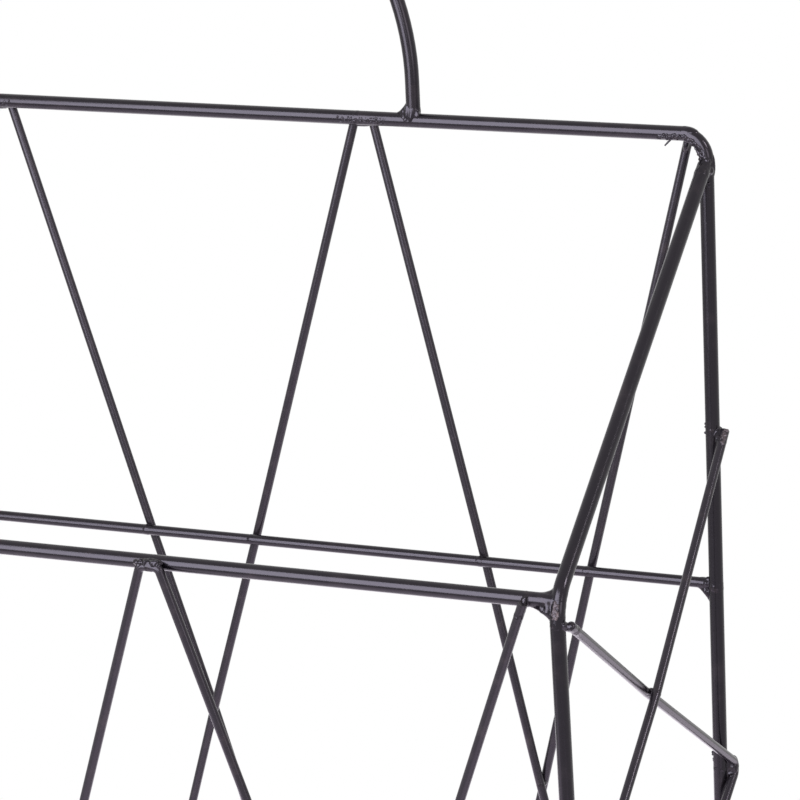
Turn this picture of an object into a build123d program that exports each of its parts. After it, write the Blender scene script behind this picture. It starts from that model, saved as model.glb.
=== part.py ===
from build123d import *
import os
from math import radians, sin

# A welded wire magazine rack with a high back, a low front, sloping side rods and an arched handle.
# The origin is on the floor under the middle of the rack: +X to the right, +Y to the back, +Z up.

# Rod and wire diameters
frame_rod = 4.0
brace_rod = 3.0
lattice_wire = 2.5
floor_wire = 2.5

# Frame, measured between rod axes, with bend radii at the rod axis
frame_width = 320.0
rear_height = 370.0
front_height = 275.5
top_depth = 115.0
base_depth = 103.0
hoop_bend = 7.0
corner_bend = 12.0
slope_drop = 7.0
brace_drop = 126.6

# Carry handle: distance between its feet, and where its arch begins above the rear bar's axis
handle_span = 149.0
handle_leg = 11.0

# Floor wires that the magazines stand on
floor_wire_count = 7
floor_overhang = 1.5

# Lattice bends: inside radius, straight length between the two bends of an apex, and gentle bows
apex_inside = 0.65
apex_flat = 1.6
bow_bend = 120.0

# Rear and front lattice: apex places from the middle, wire ends from the post axis, and how far the
# upper welds of the rear lattice lie below the rear bar's axis
rear_top_apex = 57.6
rear_base_apex = 57.3
rear_top_inset = 6.0
rear_base_inset = 16.0
rear_top_drop = 1.2
front_top_apex = 46.75
front_base_apex = 50.7
front_top_inset = 8.3
front_base_inset = 25.7

# Side lattice: legs per wire, first weld below the front corner, last one above the floor, how much higher
# the rear post's first two welds are, and half the length of a bend and how far it passes the post's axis
side_leg_count = 3
side_first_drop = 6.3
side_last_height = 15.0
side_top_lead = 18.6
side_apex_lead = 5.2
side_apex_half = 1.7
side_apex_reach = 1.5

# Gap between pieces that are welded together, and how far a bead stands out round a rod or wire
weld_gap = 0.3
frame_bead_reach = 1.2
wire_bead_reach = 0.85

# Values that follow from the sizes above
frame_radius = frame_rod / 2
brace_radius = brace_rod / 2
wire_radius = lattice_wire / 2
floor_radius = floor_wire / 2
half_width = frame_width / 2
rear_y = top_depth / 2
butt_gap = frame_radius + weld_gap
apex_bend = apex_inside + wire_radius
apex_half = apex_flat / 2 + apex_bend
seat_offset = frame_radius + weld_gap + wire_radius
seat_contact = frame_radius + weld_gap / 2
tie_contact = seat_offset - wire_radius - weld_gap / 2
cross_offset = (lattice_wire + weld_gap) / 2
frame_bead = frame_radius + frame_bead_reach
brace_bead = brace_radius + frame_bead_reach
wire_bead = wire_radius + wire_bead_reach
line_tolerance = 1e-6


# Rods

def bent_rod(points, diameter, radii):
    """A round rod along straight runs that are joined by tangent bends."""
    with BuildPart() as rod:
        with BuildLine() as path:
            FilletPolyline(*points, radius=radii)
        with BuildSketch(Plane(origin=path.line @ 0, z_dir=path.line % 0)):
            Circle(diameter / 2)
        sweep()
    return rod.part


def straight_rod(start, end, diameter):
    """A round rod with square ends."""
    run = Vector(end) - Vector(start)
    with BuildPart() as rod:
        with BuildSketch(Plane(origin=start, z_dir=run)):
            Circle(diameter / 2)
        extrude(amount=run.length)
    return rod.part


def mirrored(piece):
    """The left-hand copy of a right-hand piece."""
    with BuildPart() as copy:
        mirror(piece, about=Plane.YZ)
    return copy.part


def bend_middle(before, corner, after, radius):
    """The point on a bent rod's axis in the middle of its bend."""
    back = (before - corner).normalized()
    onward = (after - corner).normalized()
    half_angle = radians(back.get_angle(onward) / 2)
    return corner + (back + onward).normalized() * (radius / sin(half_angle) - radius)


# Frame corners of the right side, from the sloping rod's rear end down to the front post's floor runner
slope_end = Vector(half_width, rear_y, rear_height - slope_drop)
front_corner = Vector(half_width, rear_y - top_depth, front_height)
base_corner = Vector(half_width, rear_y - base_depth, frame_radius)
runner_end = Vector(half_width, rear_y, frame_radius)
front_bar_at = bend_middle(slope_end, front_corner, base_corner, corner_bend)
post_heading = (base_corner - front_corner).normalized()
slope_heading = (front_corner - slope_end).normalized()
bend_tangent = (post_heading + slope_heading).normalized()
base_bar_at = bend_middle(front_corner, base_corner, runner_end, corner_bend)
base_bar_height = base_bar_at.Z
brace_height = rear_height - brace_drop
brace_y = rear_y + seat_offset - wire_radius - weld_gap - brace_radius


def make_rear_hoop():
    """Rear top bar and both rear posts, bent from one rod and cut flat at the floor."""
    corners = [(-half_width, rear_y, 0), (-half_width, rear_y, rear_height),
               (half_width, rear_y, rear_height), (half_width, rear_y, 0)]
    return bent_rod(corners, frame_rod, hoop_bend)


def make_side_rods():
    """Sloping rod and front post of the right side, which are welded end to end in the front bend."""
    with BuildPart() as side:
        add(bent_rod([slope_end, front_corner, base_corner, runner_end], frame_rod, corner_bend))
        split(bisect_by=Plane((0, rear_y - butt_gap, 0), z_dir=(0, 1, 0)), keep=Keep.BOTTOM)
    half_gap = bend_tangent * (weld_gap / 2)
    with BuildPart() as slope:
        add(side.part)
        split(bisect_by=Plane(front_bar_at - half_gap, z_dir=bend_tangent), keep=Keep.BOTTOM)
    with BuildPart() as post:
        add(side.part)
        split(bisect_by=Plane(front_bar_at + half_gap, z_dir=bend_tangent), keep=Keep.TOP)
    return slope.part, post.part


def make_cross_bar(y, z, diameter):
    """A bar that spans between the two posts, with square ends just clear of them."""
    reach = half_width - butt_gap
    return straight_rod((-reach, y, z), (reach, y, z), diameter)


def make_handle():
    """An arch with straight legs that stands on the rear top bar."""
    foot = rear_height + butt_gap
    spring = rear_height + handle_leg
    radius = handle_span / 2
    with BuildPart() as handle:
        with BuildLine() as arch:
            Line((-radius, rear_y, foot), (-radius, rear_y, spring))
            ThreePointArc((-radius, rear_y, spring), (0, rear_y, spring + radius), (radius, rear_y, spring))
            Line((radius, rear_y, spring), (radius, rear_y, foot))
        with BuildSketch(Plane(origin=arch.line @ 0, z_dir=arch.line % 0)):
            Circle(frame_radius)
        sweep()
    return handle.part


floor_height = base_bar_height + frame_radius + weld_gap + floor_radius
floor_pitch = frame_width / (floor_wire_count + 1)
floor_places = [floor_pitch * (index + 1) - half_width for index in range(floor_wire_count)]


def make_floor_wire(x):
    """A straight wire that lies across the front and rear base bars."""
    front = (x, base_bar_at.Y - floor_overhang, floor_height)
    rear = (x, rear_y + floor_overhang, floor_height)
    return straight_rod(front, rear, floor_wire)


# Lattice panels: local x runs along the panel, local y up it, and local z out of the rack
rear_panel = Plane((0, rear_y, 0), x_dir=(-1, 0, 0), z_dir=(0, 1, 0))
side_panel = Plane((half_width, 0, 0), x_dir=(0, 1, 0), z_dir=(1, 0, 0))
front_base_point = Vector(0, base_bar_at.Y, base_bar_at.Z)
front_rise = Vector(0, front_bar_at.Y, front_bar_at.Z) - front_base_point
front_panel = Plane(front_base_point, x_dir=(1, 0, 0), z_dir=Vector(1, 0, 0).cross(front_rise))


def crossing(run_a, run_b):
    """Where two straight runs of a panel cross, seen square to the panel."""
    along_a = run_a[1] - run_a[0]
    along_b = run_b[1] - run_b[0]
    share = (run_b[0] - run_a[0]).cross(along_b).Z / along_a.cross(along_b).Z
    return run_a[0] + along_a * share


def at_height(run, height):
    """The point of a straight run at a height of its panel."""
    share = (height - run[0].Y) / (run[1].Y - run[0].Y)
    return run[0] + (run[1] - run[0]) * share


def lies_on(point, run):
    """True where a point of the panel is on a straight run."""
    detour = (point - run[0]).length + (run[1] - point).length
    return detour - (run[1] - run[0]).length < line_tolerance


def make_lattice_wire(panel, corners, bends, passes):
    """A zigzag wire through its corners, which bows out or in at each pass (point, offset)."""
    points = [corners[0] + Vector(0, 0, seat_offset)]
    radii = []
    for start, end, bend in zip(corners, corners[1:], bends + [None]):
        on_run = [spot for spot in passes if lies_on(spot[0], (start, end))]
        for point, offset in sorted(on_run, key=lambda spot: (spot[0] - start).length):
            points.append(point + Vector(0, 0, offset))
            radii.append(bow_bend)
        points.append(end + Vector(0, 0, seat_offset))
        radii.append(bend)
    path = [panel.from_local_coords(point) for point in points]
    return bent_rod(path, lattice_wire, radii[:-1])


def long_runs(corners):
    """The legs of a zigzag: every second run, which leaves out the short flats."""
    return list(zip(corners[0::2], corners[1::2]))


def zigzag(top, base, top_end, base_end, top_apex, base_apex):
    """Corners of a wire from its top right end, down, up and down again, over to the lower left."""
    return [Vector(top_end, top), Vector(base_apex + apex_half, base), Vector(base_apex - apex_half, base),
            Vector(apex_half - top_apex, top), Vector(-apex_half - top_apex, top), Vector(-base_end, base)]


def flipped(corners):
    """The same zigzag seen from the other side of the panel, in the order of the first one's runs."""
    return [Vector(-corner.X, corner.Y) for corner in reversed(corners)]


def seat_spots(corners):
    """Where a zigzag is welded to the frame: its two ends and the middle of each flat."""
    flats = [(a + b) / 2 for a, b in zip(corners[1:-1:2], corners[2:-1:2])]
    return [corners[0], *flats, corners[-1]]


def make_lattice(panel, outer, inner, ties=()):
    """The outer wire, the inner wire and the places where they cross."""
    bends = [apex_bend] * (len(outer) - 2)
    crossings = [crossing(*pair) for pair in zip(long_runs(outer), long_runs(inner))]
    outward = [(spot, seat_offset + cross_offset) for spot in crossings]
    inward = [(spot, seat_offset - cross_offset) for spot in crossings]
    held = [(spot, seat_offset) for spot in ties]
    outer_wire = make_lattice_wire(panel, outer, bends, outward + held)
    inner_wire = make_lattice_wire(panel, inner, bends, inward + held)
    return outer_wire, inner_wire, crossings


rear_inner = zigzag(rear_height - rear_top_drop, base_bar_height, half_width - rear_top_inset,
                    half_width - rear_base_inset, rear_top_apex, rear_base_apex)
rear_outer = flipped(rear_inner)
rear_ties = [at_height(run, brace_height) for run in long_runs(rear_outer) + long_runs(rear_inner)]

front_outer = zigzag(front_rise.length, 0, half_width - front_top_inset,
                     half_width - front_base_inset, front_top_apex, front_base_apex)
front_inner = flipped(front_outer)


# Side lattice: levels down the front post, and the matching ones down the rear post

def front_post_at(height):
    """The front post's place in the side panel at a height."""
    share = (front_height - height) / (front_height - frame_radius)
    return Vector(front_corner.Y + share * (base_corner.Y - front_corner.Y), height)


def rear_post_at(height):
    """The rear post's place in the side panel at a height."""
    return Vector(rear_y, height)


side_first = front_height - side_first_drop
side_step = (side_first - side_last_height) / side_leg_count
rear_leads = [side_top_lead, side_apex_lead] + [0] * (side_leg_count - 1)
front_welds = [front_post_at(side_first - side_step * index) for index in range(side_leg_count + 1)]
rear_welds = [rear_post_at(weld.Y + lead) for weld, lead in zip(front_welds, rear_leads)]


def side_welds(first_post, second_post):
    """Weld places of a side wire, which goes from post to post on its way down."""
    return [(second_post if index % 2 else first_post)[index] for index in range(side_leg_count + 1)]


def side_zigzag(welds):
    """Corners of a side wire from its upper end, with a flat just past the post at each weld between."""
    corners = [welds[0]]
    for weld in welds[1:-1]:
        at_rear = weld in rear_welds
        post_at = rear_post_at if at_rear else front_post_at
        past = Vector(side_apex_reach if at_rear else -side_apex_reach, 0)
        corners += [post_at(weld.Y + side_apex_half) + past, post_at(weld.Y - side_apex_half) + past]
    return [*corners, welds[-1]]


side_outer_welds = side_welds(rear_welds, front_welds)
side_inner_welds = side_welds(front_welds, rear_welds)
side_outer = side_zigzag(side_outer_welds)
side_inner = side_zigzag(side_inner_welds)


# Weld beads: balls on the contact points, cut back to the faces of the pieces that they join

def make_bead(balls, cutters):
    """One bead from its (point, axis, radius) balls, with the axis from one piece into the other."""
    with BuildPart() as bead:
        for point, axis, radius in balls:
            with Locations(Plane(point, z_dir=axis)):
                Sphere(radius)
        add(cutters, mode=Mode.SUBTRACT)
    return bead.part


def grouped(members):
    """Separate solids that share one node."""
    with BuildPart() as group:
        add(members)
    return group.part


def frame_welds(cutters, *beads):
    """Beads of the right side, each a list of its balls, with their mirror images."""
    right = [make_bead(balls, cutters) for balls in beads]
    return grouped(right + [mirrored(bead) for bead in right])


def panel_beads(panel, spots, offset, cutters):
    """Beads of a lattice panel, at an offset out of the panel."""
    points = [panel.from_local_coords(spot + Vector(0, 0, offset)) for spot in spots]
    return [make_bead([(point, panel.z_dir, wire_bead)], cutters) for point in points]


def make_ground():
    """The space under the floor, which no bead reaches into."""
    with BuildPart() as ground:
        with BuildSketch():
            Rectangle(2 * frame_width, 2 * base_depth + 2 * top_depth)
        extrude(amount=-frame_rod)
    return ground.part


def bar_end(y, z):
    """The contact point between a cross bar's right end and its post."""
    return Vector(half_width - seat_contact, y, z)


pieces = {}
pieces["rear_hoop"] = make_rear_hoop()
pieces["right_slope_rod"], pieces["right_front_post"] = make_side_rods()
pieces["left_slope_rod"] = mirrored(pieces["right_slope_rod"])
pieces["left_front_post"] = mirrored(pieces["right_front_post"])
pieces["front_top_bar"] = make_cross_bar(front_bar_at.Y, front_bar_at.Z, frame_rod)
pieces["front_base_bar"] = make_cross_bar(base_bar_at.Y, base_bar_height, frame_rod)
pieces["rear_base_bar"] = make_cross_bar(rear_y, base_bar_height, frame_rod)
pieces["rear_brace"] = make_cross_bar(brace_y, brace_height, brace_rod)
pieces["carry_handle"] = make_handle()
floor_names = []
for number, place in enumerate(floor_places, start=1):
    floor_names.append(f"floor_wire_{number}")
    pieces[floor_names[-1]] = make_floor_wire(place)

rear_wires = make_lattice(rear_panel, rear_outer, rear_inner, ties=rear_ties)
pieces["rear_lattice_outer_wire"], pieces["rear_lattice_inner_wire"], rear_crossings = rear_wires
front_wires = make_lattice(front_panel, front_outer, front_inner)
pieces["front_lattice_outer_wire"], pieces["front_lattice_inner_wire"], front_crossings = front_wires
side_wires = make_lattice(side_panel, side_outer, side_inner)
pieces["right_lattice_outer_wire"], pieces["right_lattice_inner_wire"], side_crossings = side_wires
pieces["left_lattice_outer_wire"] = mirrored(pieces["right_lattice_outer_wire"])
pieces["left_lattice_inner_wire"] = mirrored(pieces["right_lattice_inner_wire"])


def parts_of(*names):
    """The finished pieces with these names."""
    return [pieces[name] for name in names]


# Beads of the frame
handle_foot = Vector(handle_span / 2, rear_y, rear_height + seat_contact)
slope_top = slope_end + (front_corner - slope_end) * (seat_contact / top_depth)
front_bar_end = bar_end(front_bar_at.Y, front_bar_at.Z)
front_base_end = bar_end(base_bar_at.Y, base_bar_height)
rear_base_end = bar_end(rear_y, base_bar_height)
runner_top = runner_end - Vector(0, seat_contact, 0)
pieces["handle_welds"] = frame_welds(
    parts_of("rear_hoop", "carry_handle"), [(handle_foot, (0, 0, 1), frame_bead)])
pieces["front_bar_welds"] = frame_welds(
    parts_of("front_top_bar", "right_slope_rod", "right_front_post"),
    [(front_bar_end, (1, 0, 0), frame_bead), (front_bar_at, bend_tangent, frame_bead)])
pieces["slope_welds"] = frame_welds(
    parts_of("rear_hoop", "right_slope_rod"), [(slope_top, slope_end - front_corner, frame_bead)])
pieces["brace_welds"] = frame_welds(
    parts_of("rear_hoop", "rear_brace"), [(bar_end(brace_y, brace_height), (1, 0, 0), brace_bead)])
pieces["base_welds"] = frame_welds(
    [*parts_of("rear_hoop", "front_base_bar", "rear_base_bar", "right_front_post"), make_ground()],
    [(front_base_end, (1, 0, 0), frame_bead)],
    [(rear_base_end, (1, 0, 0), frame_bead), (runner_top, (0, 1, 0), frame_bead)])
floor_contact = base_bar_height + seat_contact
pieces["floor_welds"] = grouped(
    make_bead([(Vector(x, bar.Y, floor_contact), (0, 0, 1), wire_bead)], parts_of(bar_name, wire_name))
    for x, wire_name in zip(floor_places, floor_names)
    for bar, bar_name in [(base_bar_at, "front_base_bar"), (runner_end, "rear_base_bar")])

# Beads of the lattices
rear_cutters = parts_of(
    "rear_hoop", "rear_base_bar", "rear_brace", "rear_lattice_outer_wire", "rear_lattice_inner_wire")
pieces["rear_lattice_welds"] = grouped(
    panel_beads(rear_panel, seat_spots(rear_outer) + seat_spots(rear_inner), seat_contact, rear_cutters)
    + panel_beads(rear_panel, rear_crossings, seat_offset, rear_cutters)
    + panel_beads(rear_panel, rear_ties, tie_contact, rear_cutters))
front_cutters = parts_of(
    "front_top_bar", "front_base_bar", "front_lattice_outer_wire", "front_lattice_inner_wire")
pieces["front_lattice_welds"] = grouped(
    panel_beads(front_panel, seat_spots(front_outer) + seat_spots(front_inner), seat_contact, front_cutters)
    + panel_beads(front_panel, front_crossings, seat_offset, front_cutters))
side_cutters = parts_of(
    "rear_hoop", "right_front_post", "right_lattice_outer_wire", "right_lattice_inner_wire")
pieces["right_lattice_welds"] = grouped(
    panel_beads(side_panel, side_outer_welds + side_inner_welds, seat_contact, side_cutters)
    + panel_beads(side_panel, side_crossings, seat_offset, side_cutters))
pieces["left_lattice_welds"] = mirrored(pieces["right_lattice_welds"])

os.makedirs("parts", exist_ok=True)
for name, piece in pieces.items():
    piece.label = name
    export_step(piece, f"parts/{name}.step")
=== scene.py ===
"""Dresses a welded wire magazine rack with weld seams, powder coat, studio light and a camera."""

import logging
import math
import random
from dataclasses import dataclass, field
from enum import Enum

import bpy
from mathutils import Matrix, Vector
from mathutils.geometry import intersect_line_line_2d


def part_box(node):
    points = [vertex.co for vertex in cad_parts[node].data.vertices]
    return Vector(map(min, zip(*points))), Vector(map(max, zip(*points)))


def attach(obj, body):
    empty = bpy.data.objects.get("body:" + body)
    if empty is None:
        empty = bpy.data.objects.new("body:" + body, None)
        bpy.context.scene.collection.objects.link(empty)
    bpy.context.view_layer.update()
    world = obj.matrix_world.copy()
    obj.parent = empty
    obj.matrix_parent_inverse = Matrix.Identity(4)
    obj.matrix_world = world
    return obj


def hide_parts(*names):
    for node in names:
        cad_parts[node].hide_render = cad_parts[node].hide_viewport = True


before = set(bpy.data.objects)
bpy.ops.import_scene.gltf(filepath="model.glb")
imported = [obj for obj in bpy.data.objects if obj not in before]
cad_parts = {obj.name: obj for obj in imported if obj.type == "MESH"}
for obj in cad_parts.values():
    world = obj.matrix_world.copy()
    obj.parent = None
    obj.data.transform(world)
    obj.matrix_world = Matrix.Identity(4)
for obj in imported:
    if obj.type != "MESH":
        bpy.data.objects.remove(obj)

LOG = logging.getLogger("magazine_rack")
MM = 0.001
BODY = "root"
ACROSS = Vector((1, 0, 0))
BACK = Vector((0, 1, 0))
UP = Vector((0, 0, 1))
WHITE = (1.0, 1.0, 1.0, 1.0)


class Slot(Enum):
    """Material slots of the record."""

    FRAME = "frame_paint"
    WIRE = "wire_paint"
    WELD = "weld_paint"


# Finishes

@dataclass(frozen=True)
class CoatFinish:
    """Black powder coat on rod, wire or weld metal.

    Attributes:
        name: The material's name.
        colour: Colour of the coat.
        thin_colour: Colour where the coat is thin and the primer warms it.
        roughness: Mean roughness.
        roughness_spread: How far the roughness wanders.
        peel_size: Size of the orange-peel dimples, in millimetres.
        peel_depth: Depth of the dimples, in millimetres.
        lump_size: Size of the uneven runs in the coat, in millimetres.
        lump_depth: Depth of those runs, in millimetres.
        ior: Refractive index of the coat.
        tint: Colour of its reflections.
    """

    name: str
    colour: tuple[float, float, float]
    thin_colour: tuple[float, float, float]
    roughness: float
    roughness_spread: float
    peel_size: float
    peel_depth: float
    lump_size: float
    lump_depth: float
    ior: float = 1.40
    tint: tuple[float, float, float] = (0.95, 0.86, 1.0)

    def material(self) -> bpy.types.Material:
        """Makes the material of this finish.

        Returns:
            A material whose colour, roughness and bump come from the powder coat group.
        """
        made = bpy.data.materials.new(self.name)
        made.use_nodes = True
        nodes, links = made.node_tree.nodes, made.node_tree.links
        shader = nodes["Principled BSDF"]
        shader.inputs["IOR"].default_value = self.ior
        shader.inputs["Specular Tint"].default_value = (*self.tint, 1.0)
        coat = nodes.new("ShaderNodeGroup")
        coat.node_tree = powder_coat_group()
        settings = {"Coat Colour": (*self.colour, 1.0), "Thin Colour": (*self.thin_colour, 1.0),
                    "Gloss Level": self.roughness, "Gloss Spread": self.roughness_spread,
                    "Peel Scale": 1.0 / (self.peel_size * MM), "Peel Depth": self.peel_depth,
                    "Lump Scale": 1.0 / (self.lump_size * MM), "Lump Depth": self.lump_depth}
        for label, value in settings.items():
            coat.inputs[label].default_value = value
        bump = nodes.new("ShaderNodeBump")
        bump.inputs["Distance"].default_value = MM
        links.new(coat.outputs["Colour"], shader.inputs["Base Color"])
        links.new(coat.outputs["Roughness"], shader.inputs["Roughness"])
        links.new(coat.outputs["Height"], bump.inputs["Height"])
        links.new(bump.outputs["Normal"], shader.inputs["Normal"])
        return made


def maths(tree: bpy.types.NodeTree, operation: str,
          *values: bpy.types.NodeSocket | float) -> bpy.types.NodeSocket:
    """Adds a math node to a tree.

    Args:
        tree: The tree that gets the node.
        operation: What the node works out.
        values: Sockets or numbers that it works on.

    Returns:
        The socket with the result.
    """
    node = tree.nodes.new("ShaderNodeMath")
    node.operation = operation
    for socket, value in zip(node.inputs, values):
        if isinstance(value, bpy.types.NodeSocket):
            tree.links.new(value, socket)
        else:
            socket.default_value = value
    return node.outputs["Value"]


def powder_coat_group() -> bpy.types.NodeTree:
    """Gives the shared powder coat node group, and builds it on the first call.

    Returns:
        A group with the sockets Colour, Roughness and Height.
    """
    name = "powder coat"
    if name in bpy.data.node_groups:
        return bpy.data.node_groups[name]
    tree = bpy.data.node_groups.new(name, "ShaderNodeTree")
    sockets = {"INPUT": ("Coat Colour", "Thin Colour", "Gloss Level", "Gloss Spread",
                         "Peel Scale", "Peel Depth", "Lump Scale", "Lump Depth"),
               "OUTPUT": ("Colour", "Roughness", "Height")}
    for side, labels in sockets.items():
        for label in labels:
            kind = "NodeSocketColor" if label.endswith("Colour") else "NodeSocketFloat"
            tree.interface.new_socket(label, in_out=side, socket_type=kind)
    nodes, links = tree.nodes, tree.links
    given = nodes.new("NodeGroupInput")
    result = nodes.new("NodeGroupOutput")
    place = nodes.new("ShaderNodeTexCoord")

    def noise(scale: bpy.types.NodeSocket, detail: float) -> bpy.types.NodeSocket:
        """Adds a noise texture to the group.

        Args:
            scale: The group's socket with the scale.
            detail: Fineness of the noise.

        Returns:
            The socket with the noise's value.
        """
        texture = nodes.new("ShaderNodeTexNoise")
        texture.inputs["Detail"].default_value = detail
        links.new(place.outputs["Object"], texture.inputs["Vector"])
        links.new(scale, texture.inputs["Scale"])
        return texture.outputs["Fac"]

    peel_detail, lump_detail = 1.5, 2.0
    thin_begins, thin_full = 0.55, 0.80
    noise_middle = 0.5
    peel = noise(given.outputs["Peel Scale"], peel_detail)
    lump = noise(given.outputs["Lump Scale"], lump_detail)
    thin = nodes.new("ShaderNodeMapRange")
    thin.inputs["From Min"].default_value = thin_begins
    thin.inputs["From Max"].default_value = thin_full
    links.new(lump, thin.inputs["Value"])
    colour = nodes.new("ShaderNodeMix")
    colour.data_type = "RGBA"
    links.new(thin.outputs["Result"], colour.inputs["Factor"])
    links.new(given.outputs["Coat Colour"], colour.inputs["A"])
    links.new(given.outputs["Thin Colour"], colour.inputs["B"])
    wander = maths(tree, "SUBTRACT", maths(tree, "ADD", peel, lump), 2 * noise_middle)
    gloss = maths(tree, "MULTIPLY_ADD", wander, given.outputs["Gloss Spread"], given.outputs["Gloss Level"])
    lump_height = maths(tree, "MULTIPLY", lump, given.outputs["Lump Depth"])
    height = maths(tree, "MULTIPLY_ADD", peel, given.outputs["Peel Depth"], lump_height)
    links.new(colour.outputs["Result"], result.inputs["Colour"])
    links.new(gloss, result.inputs["Roughness"])
    links.new(height, result.inputs["Height"])
    return tree


FRAME_COAT = CoatFinish(
    name="frame coat", colour=(0.0024, 0.0019, 0.0028), thin_colour=(0.008, 0.006, 0.007), roughness=0.20,
    roughness_spread=0.10, peel_size=0.7, peel_depth=0.002, lump_size=6.0, lump_depth=0.008)
WIRE_COAT = CoatFinish(
    name="wire coat", colour=(0.0090, 0.0074, 0.0094), thin_colour=(0.018, 0.014, 0.015), roughness=0.23,
    roughness_spread=0.12, peel_size=0.6, peel_depth=0.004, lump_size=4.0, lump_depth=0.012)
WELD_COAT = CoatFinish(
    name="weld coat", colour=(0.0026, 0.0020, 0.0030), thin_colour=(0.014, 0.010, 0.010), roughness=0.20,
    roughness_spread=0.16, peel_size=0.5, peel_depth=0.003, lump_size=1.6, lump_depth=0.012)
SCALE_COAT = CoatFinish(
    name="weld scale", colour=(0.036, 0.028, 0.029), thin_colour=(0.150, 0.116, 0.112), roughness=0.30,
    roughness_spread=0.24, peel_size=0.35, peel_depth=0.015, lump_size=0.8, lump_depth=0.05)
COATS = {Slot.FRAME: FRAME_COAT, Slot.WIRE: WIRE_COAT, Slot.WELD: WELD_COAT}


# Sizes of the rack

@dataclass
class RackSizes:
    """Rod axes and weld places of the rack, in millimetres.

    The fields without a value are read from the frame. The others are sizes of bent rods and wires that
    the box of a node doesn't tell.
    """

    top_depth: float = 115.0
    base_depth: float = 103.0
    front_height: float = 275.5
    slope_drop: float = 7.0
    hoop_bend: float = 7.0
    corner_bend: float = 12.0
    weld_gap: float = 0.3
    apex_half: float = 2.7
    rear_top_apex: float = 57.6
    rear_base_apex: float = 57.3
    rear_top_inset: float = 6.0
    rear_base_inset: float = 16.0
    rear_top_drop: float = 1.2
    front_top_apex: float = 46.75
    front_base_apex: float = 50.7
    front_top_inset: float = 8.3
    front_base_inset: float = 25.7
    side_leg_count: int = 3
    side_first_drop: float = 6.3
    side_last_height: float = 15.0
    side_top_lead: float = 18.6
    side_apex_lead: float = 5.2
    side_apex_half: float = 1.7
    side_apex_reach: float = 1.5
    rod: float = field(init=False)
    wire: float = field(init=False)
    brace: float = field(init=False)
    half_width: float = field(init=False)
    rear_y: float = field(init=False)
    rear_height: float = field(init=False)
    handle_x: float = field(init=False)
    front_bar: Vector = field(init=False)
    front_base: Vector = field(init=False)
    rear_base: Vector = field(init=False)
    brace_bar: Vector = field(init=False)
    floor_wires: list[Vector] = field(init=False)

    def __post_init__(self) -> None:
        """Reads rod radii and bar places from the frame."""
        low, high = self.box("rear_hoop")
        self.rod = (high.y - low.y) / 2
        self.half_width = high.x - self.rod
        self.rear_y = high.y - self.rod
        self.rear_height = high.z - self.rod
        self.handle_x = self.box("carry_handle")[1].x - self.rod
        self.front_bar = self.middle("front_top_bar")
        self.front_base = self.middle("front_base_bar")
        self.rear_base = self.middle("rear_base_bar")
        self.brace_bar = self.middle("rear_brace")
        self.brace = self.box("rear_brace")[1].z - self.brace_bar.z
        self.floor_wires = [self.middle(name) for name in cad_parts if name.startswith("floor_wire")]
        self.wire = self.box("floor_wire_1")[1].z - self.floor_wires[0].z

    @staticmethod
    def box(node: str) -> tuple[Vector, Vector]:
        """Gives a node's lowest and highest corner in millimetres."""
        low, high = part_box(node)
        return Vector(low) / MM, Vector(high) / MM

    def middle(self, node: str) -> Vector:
        """Gives the middle of a node's box in millimetres."""
        low, high = self.box(node)
        return (low + high) / 2

    @property
    def seat(self) -> float:
        """Distance from a frame rod's axis to the axis of a wire that lies on it."""
        return self.rod + self.weld_gap + self.wire

    @property
    def slope(self) -> Vector:
        """Direction of the right sloping rod, up and back."""
        rise = self.rear_height - self.slope_drop - self.front_height
        return Vector((0, self.top_depth, rise)).normalized()

    @property
    def slope_top(self) -> Vector:
        """Where the right sloping rod's axis meets the rear post's axis."""
        return Vector((self.half_width, self.rear_y, self.rear_height - self.slope_drop))

    @property
    def front_rise(self) -> Vector:
        """From the front base bar's axis up to the front top bar's axis."""
        return Vector((0, self.front_bar.y - self.front_base.y, self.front_bar.z - self.front_base.z))

    def front_bend(self, angle: float) -> Vector:
        """Gives a point of the right front bend's axis.

        Args:
            angle: Angle up from the bend's middle, in radians.

        Returns:
            The point.
        """
        middle = Vector((self.half_width, self.front_bar.y, self.front_bar.z))
        tangent = (self.slope + self.front_rise.normalized()).normalized()
        ahead = ACROSS.cross(tangent)
        return middle + (ahead * (math.cos(angle) - 1) + tangent * math.sin(angle)) * self.corner_bend

    def front_post_y(self, height: float) -> float:
        """Gives the place of the front post's axis at a height."""
        share = (self.front_height - height) / (self.front_height - self.rod)
        return self.rear_y - self.top_depth + share * (self.top_depth - self.base_depth)


# Weld metal

@dataclass(frozen=True)
class Blob:
    """A drop of weld metal: a ball, or an egg that is stretched along a direction, in millimetres."""

    at: Vector
    radius: float
    along: Vector = UP
    reach: float = 0.0

    def copied(self, drop: bpy.types.Object) -> bpy.types.Object:
        """Places a copy of the modelled drop, with a mesh of its own.

        Args:
            drop: The round drop, 1 mm in radius.

        Returns:
            The copy.
        """
        made = drop.copy()
        made.data = drop.data.copy()
        made.location = self.at * MM
        made.rotation_euler = self.along.to_track_quat("Z", "Y").to_euler()
        made.scale = (self.radius, self.radius, self.reach or self.radius)
        bpy.context.collection.objects.link(made)
        return made


def model_drop() -> bpy.types.Object:
    """Models the round drop that all weld metal is copied from.

    Returns:
        A ball, 1 mm in radius.
    """
    bpy.ops.object.select_all(action="DESELECT")
    bpy.ops.mesh.primitive_uv_sphere_add(segments=16, ring_count=10, radius=MM)
    drop = bpy.context.object
    drop.name = drop.data.name = "weld_drop"
    return drop


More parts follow.
